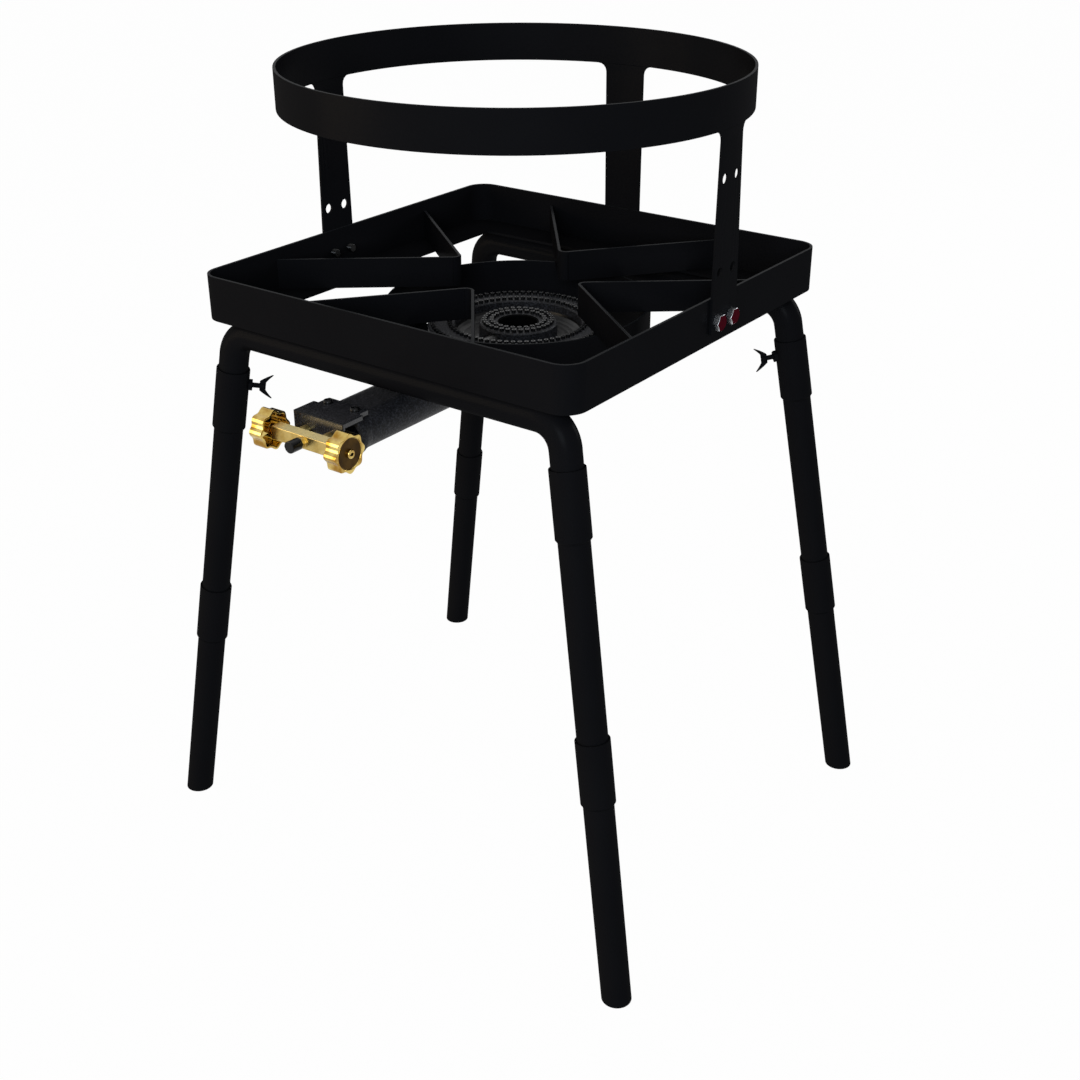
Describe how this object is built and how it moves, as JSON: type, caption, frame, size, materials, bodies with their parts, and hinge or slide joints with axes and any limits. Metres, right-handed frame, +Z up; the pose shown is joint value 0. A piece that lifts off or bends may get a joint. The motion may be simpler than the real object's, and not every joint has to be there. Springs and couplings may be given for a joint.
{
  "type": "wok burner",
  "caption": "Outdoor gas wok burner: square tray on splayed plug-in legs, cast double-ring burner with brass valve, bolt-on wok ring.",
  "frame": {"origin": "on the floor, under the middle of the whole outline", "axes": "+Z up, -Y towards the valve at the front, +X to the right seen from the valve"},
  "size_m": [0.5562, 0.5288, 0.739],
  "materials": {
    "black_coat": "satin black powder coat",
    "cast_iron": "grainy black cast surface",
    "brass": "polished",
    "zinc_steel": "bright plated",
    "black_plastic": "soft black"
  },
  "bodies": {
    "stand": {"tray_frame": "black_coat", "support_front": "black_coat", "support_right": "black_coat", "support_back": "black_coat", "support_left": "black_coat", "wind_shield": "black_coat", "wok_ring": "black_coat", "ring_bolts": "zinc_steel", "leg_frame_front": "black_coat", "leg_frame_back": "black_coat", "burner_casting": "cast_iron", "outer_port_ring": "cast_iron", "inner_port_ring": "cast_iron", "burner_strap": "black_coat", "strap_bolts": "zinc_steel", "mouth_cover": "cast_iron", "cover_screws": "black_coat", "valve_bar": "brass", "jet_left": "brass", "jet_right": "brass", "gland_nut_left": "brass", "gland_nut_right": "brass"},
    "knob_left": {"knob_left": "brass", "spindle_left": "brass", "knob_screw_left": "brass"},
    "knob_right": {"knob_right": "brass", "spindle_right": "brass", "knob_screw_right": "brass"},
    "inlet_cap": {"inlet_cap": "black_plastic"},
    "upper_leg_fl": {"upper_leg_fl": "black_coat", "clamp_nut_fl": "black_coat"},
    "lower_leg_fl": {"lower_leg_fl": "black_coat"},
    "wing_bolt_fl": {"wing_bolt_fl": "black_coat"},
    "upper_leg_fr": {"upper_leg_fr": "black_coat", "clamp_nut_fr": "black_coat"},
    "lower_leg_fr": {"lower_leg_fr": "black_coat"},
    "wing_bolt_fr": {"wing_bolt_fr": "black_coat"},
    "upper_leg_br": {"upper_leg_br": "black_coat", "clamp_nut_br": "black_coat"},
    "lower_leg_br": {"lower_leg_br": "black_coat"},
    "wing_bolt_br": {"wing_bolt_br": "black_coat"},
    "upper_leg_bl": {"upper_leg_bl": "black_coat", "clamp_nut_bl": "black_coat"},
    "lower_leg_bl": {"lower_leg_bl": "black_coat"},
    "wing_bolt_bl": {"wing_bolt_bl": "black_coat"}
  },
  "joints": [
    {"name": "knob_left_turn", "type": "hinge", "parent": "stand", "child": "knob_left", "pos_m": [-0.04, -0.24497, 0.48662], "axis": [-1, 0, 0], "range_deg": [0, 540]},
    {"name": "knob_right_turn", "type": "hinge", "parent": "stand", "child": "knob_right", "pos_m": [0.04, -0.24497, 0.48662], "axis": [1, 0, 0], "range_deg": [0, 540]},
    {"name": "inlet_cap_pull", "type": "slide", "parent": "stand", "child": "inlet_cap", "axis": [0, -1, 0], "range_m": [0, 0.012]},
    {"name": "upper_leg_fl_pull", "type": "slide", "parent": "stand", "child": "upper_leg_fl", "axis": [-0.165, -0.0688, -0.9839], "range_m": [0, 0.05]},
    {"name": "lower_leg_fl_pull", "type": "slide", "parent": "upper_leg_fl", "child": "lower_leg_fl", "axis": [-0.165, -0.0688, -0.9839], "range_m": [0, 0.05]},
    {"name": "wing_bolt_fl_turn", "type": "hinge", "parent": "upper_leg_fl", "child": "wing_bolt_fl", "pos_m": [-0.18718, -0.14971, 0.46174], "axis": [0.6974, 0.6972, -0.1657], "range_deg": [0, 720]},
    {"name": "upper_leg_fr_pull", "type": "slide", "parent": "stand", "child": "upper_leg_fr", "axis": [0.165, -0.0688, -0.9839], "range_m": [0, 0.05]},
    {"name": "lower_leg_fr_pull", "type": "slide", "parent": "upper_leg_fr", "child": "lower_leg_fr", "axis": [0.165, -0.0688, -0.9839], "range_m": [0, 0.05]},
    {"name": "wing_bolt_fr_turn", "type": "hinge", "parent": "upper_leg_fr", "child": "wing_bolt_fr", "pos_m": [0.18718, -0.14971, 0.46174], "axis": [-0.6974, 0.6972, -0.1657], "range_deg": [0, 720]},
    {"name": "upper_leg_br_pull", "type": "slide", "parent": "stand", "child": "upper_leg_br", "axis": [0.165, 0.0688, -0.9839], "range_m": [0, 0.05]},
    {"name": "lower_leg_br_pull", "type": "slide", "parent": "upper_leg_br", "child": "lower_leg_br", "axis": [0.165, 0.0688, -0.9839], "range_m": [0, 0.05]},
    {"name": "wing_bolt_br_turn", "type": "hinge", "parent": "upper_leg_br", "child": "wing_bolt_br", "pos_m": [0.18718, 0.21876, 0.46174], "axis": [-0.6974, -0.6972, -0.1657], "range_deg": [0, 720]},
    {"name": "upper_leg_bl_pull", "type": "slide", "parent": "stand", "child": "upper_leg_bl", "axis": [-0.165, 0.0688, -0.9839], "range_m": [0, 0.05]},
    {"name": "lower_leg_bl_pull", "type": "slide", "parent": "upper_leg_bl", "child": "lower_leg_bl", "axis": [-0.165, 0.0688, -0.9839], "range_m": [0, 0.05]},
    {"name": "wing_bolt_bl_turn", "type": "hinge", "parent": "upper_leg_bl", "child": "wing_bolt_bl", "pos_m": [-0.18718, 0.21876, 0.46174], "axis": [0.6974, -0.6972, -0.1657], "range_deg": [0, 720]}
  ]
}
